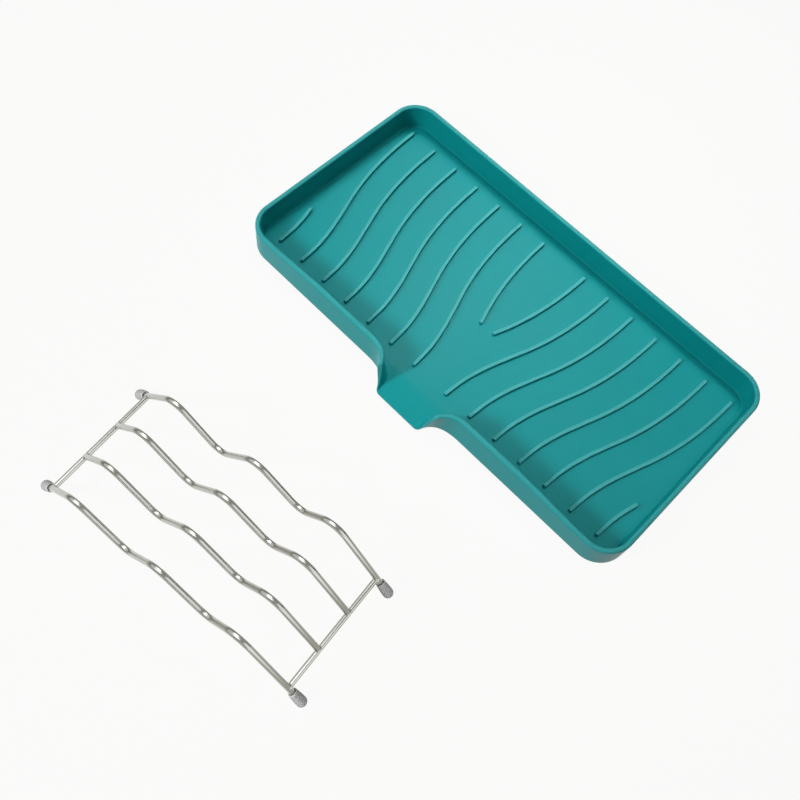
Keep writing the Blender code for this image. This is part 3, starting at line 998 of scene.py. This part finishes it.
def seen_rays(tree):
    """1 for the rays that see the background straight, in a polished surface or through clear plastic."""
    path = tree.nodes.new("ShaderNodeLightPath").outputs
    total = path["Is Camera Ray"]
    for name in ("Is Glossy Ray", "Is Transmission Ray"):
        total = calculate(tree, "ADD", total, path[name], clamp=True)
    return total


def floor_paint():
    """Pale paper, near to white for the seen rays, with only a trace of the shadow on it."""
    material, tree, shader = new_material("floor_paint")
    shader.inputs["Base Color"].default_value = (*GROUND_COLOUR, 1.0)
    shader.inputs["Roughness"].default_value = 0.9
    shader.inputs["Specular IOR Level"].default_value = 0.1
    white = add_node(tree, "ShaderNodeEmission", Color=(*GROUND_WHITE, 1.0))
    share = calculate(tree, "MULTIPLY", seen_rays(tree), GROUND_WHITE_SHARE)
    mixed = add_node(tree, "ShaderNodeMixShader", Fac=share)
    tree.links.new(shader.outputs["BSDF"], mixed.inputs[1])
    tree.links.new(white.outputs["Emission"], mixed.inputs[2])
    tree.links.new(mixed.outputs["Shader"], tree.nodes["Material Output"].inputs["Surface"])
    return material


# Studio

def near_direction(tree, direction, centre, edge, full):
    """1 for the directions near the centre and 0 away from it; edge and full are cosines of angles."""
    dot = tree.nodes.new("ShaderNodeVectorMath")
    dot.operation = "DOT_PRODUCT"
    tree.links.new(direction, dot.inputs[0])
    dot.inputs[1].default_value = Vector(centre).normalized()
    near = add_node(tree, "ShaderNodeMapRange", Value=dot.outputs["Value"], From_Min=edge, From_Max=full)
    near.interpolation_type = "SMOOTHSTEP"
    return near.outputs["Result"]


def make_world():
    """White behind everything, lights and dark corners for the rays that reflect it, and a low even fill."""
    world = bpy.data.worlds.new("studio_world")
    bpy.context.scene.world = world
    world.use_nodes = True
    tree = world.node_tree
    direction = tree.nodes.new("ShaderNodeTexCoord").outputs["Generated"]
    height = add_node(tree, "ShaderNodeSeparateXYZ", Vector=direction).outputs["Z"]
    seen = grey_ramp(tree, height, SEEN_WORLD)
    for centre, edge, full, level in SEEN_PATCHES:
        near = near_direction(tree, direction, centre, edge, full)
        seen = blend_colours(tree, seen, (level, level, level), near)
    shown = blend_colours(tree, FILL_COLOUR, seen, seen_rays(tree))
    camera_ray = tree.nodes.new("ShaderNodeLightPath").outputs["Is Camera Ray"]
    shown = blend_colours(tree, shown, BACKGROUND_COLOUR, camera_ray)
    tree.links.new(shown, tree.nodes["Background"].inputs["Color"])


def add_softbox(name, place, aim, size, spread, power):
    """A square lamp that only lights: what shines in a gloss is painted on the world instead."""
    light = bpy.data.lights.new(name, "AREA")
    light.size = size
    light.spread = math.radians(spread)
    light.energy = power
    obj = bpy.data.objects.new(name, light)
    obj.visible_camera = False
    obj.visible_glossy = False
    obj.location = place
    obj.rotation_euler = (Vector(aim) - Vector(place)).to_track_quat("-Z", "Y").to_euler()
    bpy.context.scene.collection.objects.link(obj)


def make_studio():
    """The world, the lamps, and the ground as a stage that isn't part of the soap dish."""
    make_world()
    for softbox in SOFTBOXES:
        add_softbox(*softbox)
    data = bpy.data.meshes.new("studio_floor")
    half = GROUND_SIZE / 2
    corners = ((-half, -half), (half, -half), (half, half), (-half, half))
    data.from_pydata([(x, y, -GROUND_DROP) for x, y in corners], [], [(0, 1, 2, 3)])
    data.materials.append(floor_paint())
    floor = bpy.data.objects.new("studio_floor", data)
    bpy.context.scene.collection.objects.link(floor)


def make_camera():
    """The camera that fits the photograph's view."""
    data = bpy.data.cameras.new("photo_camera")
    data.lens = CAMERA_LENS_MM
    data.sensor_width = CAMERA_SENSOR_MM
    data.clip_start = 0.01
    camera = bpy.data.objects.new("photo_camera", data)
    turn = Matrix.Rotation(CAMERA_AZIMUTH, 4, "Z") @ Matrix.Rotation(math.pi / 2 - CAMERA_ELEVATION, 4, "X")
    camera.matrix_world = Matrix.Translation(CAMERA_PLACE) @ turn @ Matrix.Rotation(CAMERA_ROLL, 4, "Z")
    bpy.context.scene.collection.objects.link(camera)
    bpy.context.scene.camera = camera


# The soap dish

def dress_tray(silicone):
    """The tray, in place of its CAD node."""
    data = tray_data()
    set_true_normals(data)
    add_piece("tray_moulding", data, silicone, "tray", ["tray"])


def dress_rack(steel, weld, plastic):
    """Wires, rods and caps, each in place of its CAD node, and the weld beads, which the CAD hasn't got."""
    place = rack_matrix()
    reach = RACK_WIDTH / 2
    names = ("outer_wire_rear", "inner_wire_rear", "inner_wire_front", "outer_wire_front")
    sideways = Vector((0, 1, 0))
    for i, name in enumerate(names):
        points = [Vector((point.x, wire_y(i), point.y)) for point in wire_line(i in OUTER_WIRES)]
        data = tube_data(f"bent_{name}", points, WIRE_DIAMETER, sideways, place)
        add_piece(f"bent_{name}", data, steel, "rack", [name])
    for side, rod in zip(("left", "right"), rod_places()):
        points = [Vector((rod.x, y, rod.y)) for y in (-reach, reach)]
        data = tube_data(f"round_rod_{side}", points, ROD_DIAMETER, Vector((1, 0, 0)), place)
        add_piece(f"round_rod_{side}", data, steel, "rack", [f"cross_rod_{side}"])
    add_piece("weld_beads", bead_data(place), weld, "rack")
    corners = wave_corners()
    ends = {"left": (corners[0], corners[1]), "right": (corners[-1], corners[-2])}
    for side, (foot, above) in ends.items():
        up = above - foot
        tilt = Matrix.Rotation(math.atan2(up.x, up.y), 4, "Y")
        for row, y in (("rear", reach), ("front", -reach)):
            where = place @ Matrix.Translation((foot.x, y, foot.y)) @ tilt
            data = turned_data(f"soft_cap_{row}_{side}", cap_profile(), where)
            add_piece(
                f"soft_cap_{row}_{side}", data, plastic, "rack", [f"foot_cap_{row}_{side}"])


def main():
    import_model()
    bpy.context.scene.view_settings.view_transform = "Standard"
    make_camera()
    make_studio()
    groups = {
        "cloudy_tone": cloudy_tone_group(),
        "fine_grain": fine_grain_group(),
        "drawn_streaks": drawn_streaks_group(),
        "painted_top_sheen": painted_top_sheen_group(),
    }
    dress_tray(teal_silicone(groups))
    dress_rack(bright_steel(groups), weld_steel(groups), clear_plastic(groups))


main()
